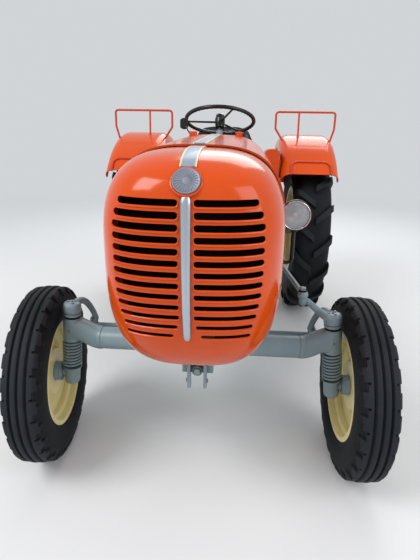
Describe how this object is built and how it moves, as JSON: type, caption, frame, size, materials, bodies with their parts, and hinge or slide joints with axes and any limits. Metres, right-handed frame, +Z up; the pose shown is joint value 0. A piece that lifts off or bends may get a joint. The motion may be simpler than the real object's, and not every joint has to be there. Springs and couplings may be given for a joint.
{
  "type": "vintage tractor",
  "caption": "Small vintage farm tractor with a rounded slotted nose, opening hood, steered front wheels on sprung pillars and large lugged rear wheels under wide fenders.",
  "frame": {"origin": "centre of the whole tractor's box, on the ground", "axes": "+Z up, the front faces -Y, the tractor's left side is +X"},
  "size_m": [1.564, 2.9143, 1.4695],
  "materials": {
    "grey_paint": "gloss",
    "cream_paint": "gloss",
    "tyre_rubber": "matte",
    "orange_paint": "gloss",
    "rail_paint": "gloss",
    "aluminium": "satin",
    "black_plastic": "gloss",
    "black_paint": "satin",
    "seat_cover": "satin",
    "steel": "satin",
    "glass": "clear",
    "red_plastic": "gloss"
  },
  "bodies": {
    "chassis": {"engine_block": "grey_paint", "gearbox": "grey_paint", "rear_axle": "grey_paint", "axle_support": "grey_paint", "front_axle": "grey_paint", "steering_column": "grey_paint", "radiator": "black_paint", "nose": "orange_paint", "nose_trim": "aluminium", "cowl": "orange_paint", "headlamp_left": "orange_paint", "headlamp_right": "orange_paint", "lamp_glasses": "glass", "fender_left": "orange_paint", "fender_right": "orange_paint", "rail_left": "rail_paint", "rail_right": "rail_paint", "toolbox": "orange_paint", "mirror": "black_paint", "seat_frame": "black_paint", "seat_cushion": "seat_cover", "seat_back": "seat_cover", "footplates": "black_paint", "levers": "black_paint", "drawbar": "black_paint", "pto_shaft": "steel", "rear_lamps": "red_plastic"},
    "hood": {"hood": "orange_paint", "hood_strip": "aluminium"},
    "steering_wheel": {"steering_wheel": "black_plastic"},
    "pitman": {"pitman_arm": "grey_paint"},
    "drag_link": {"drag_link": "grey_paint"},
    "knuckle_left": {"knuckle_left": "grey_paint", "spring_left": "grey_paint"},
    "knuckle_right": {"knuckle_right": "grey_paint", "spring_right": "grey_paint"},
    "tie_rod": {"tie_rod": "grey_paint"},
    "wheel_front_left": {"front_rim_left": "cream_paint", "front_tyre_left": "tyre_rubber"},
    "wheel_front_right": {"front_rim_right": "cream_paint", "front_tyre_right": "tyre_rubber"},
    "wheel_rear_left": {"rear_rim_left": "cream_paint", "rear_tyre_left": "tyre_rubber"},
    "wheel_rear_right": {"rear_rim_right": "cream_paint", "rear_tyre_right": "tyre_rubber"}
  },
  "joints": [
    {"name": "steer_left", "type": "hinge", "parent": "chassis", "child": "knuckle_left", "pos_m": [0.5335, -1.01802, 0.355], "axis": [-0.0819, 0, 0.9966], "range_deg": [-36.35, 29.65]},
    {"name": "steer_right", "type": "hinge", "parent": "chassis", "child": "knuckle_right", "pos_m": [-0.5335, -1.01802, 0.355], "axis": [0.0819, 0, 0.9966], "range_deg": [-36.85, 30.15]},
    {"name": "tie_rod_pivot", "type": "hinge", "parent": "knuckle_left", "child": "tie_rod", "pos_m": [0.46316, -0.87051, 0.52179], "axis": [-0.08, -0.0239, 0.9965], "range_deg": [-33.06, 40.41]},
    {"name": "drag_link_pivot", "type": "hinge", "parent": "knuckle_left", "child": "drag_link", "pos_m": [0.3964, -0.98057, 0.69995], "axis": [-0.0882, 0.0763, 0.9932], "range_deg": [-31.61, 38.63]},
    {"name": "pitman_pivot", "type": "hinge", "parent": "chassis", "child": "pitman", "pos_m": [0.286, -0.05604, 0.8], "axis": [1, 0, 0], "range_deg": [-25.24, 30.83]},
    {"name": "steering_wheel_turn", "type": "hinge", "parent": "chassis", "child": "steering_wheel", "pos_m": [0, 0.16096, 1.382], "axis": [0, 0.3387, 0.9409], "range_deg": [-365, 298]},
    {"name": "hood_hinge", "type": "hinge", "parent": "chassis", "child": "hood", "pos_m": [0, -0.20964, 1.31201], "axis": [-1, 0, 0], "range_deg": [0, 60]},
    {"name": "wheel_front_left", "type": "hinge", "parent": "knuckle_left", "child": "wheel_front_left", "pos_m": [0.62049, -1.01651, 0.355], "axis": [0.9998, 0.0174, 0], "continuous": true},
    {"name": "wheel_front_right", "type": "hinge", "parent": "knuckle_right", "child": "wheel_front_right", "pos_m": [-0.62007, -1.02663, 0.35496], "axis": [0.9951, 0.099, 0.0004], "continuous": true},
    {"name": "wheel_rear_left", "type": "hinge", "parent": "chassis", "child": "wheel_rear_left", "pos_m": [0.6315, 0.81598, 0.612], "axis": [1, 0, 0], "continuous": true},
    {"name": "wheel_rear_right", "type": "hinge", "parent": "chassis", "child": "wheel_rear_right", "pos_m": [-0.6315, 0.81598, 0.612], "axis": [1, 0, 0], "continuous": true}
  ],
  "couplings": [
    {"joint": "steer_right", "follows": "steer_left", "ratio": 1},
    {"joint": "tie_rod_pivot", "follows": "steer_left", "ratio": -1.098},
    {"joint": "drag_link_pivot", "follows": "steer_left", "ratio": -1.0491},
    {"joint": "pitman_pivot", "follows": "steer_left", "ratio": -0.8345},
    {"joint": "steering_wheel_turn", "follows": "steer_left", "ratio": 10}
  ]
}
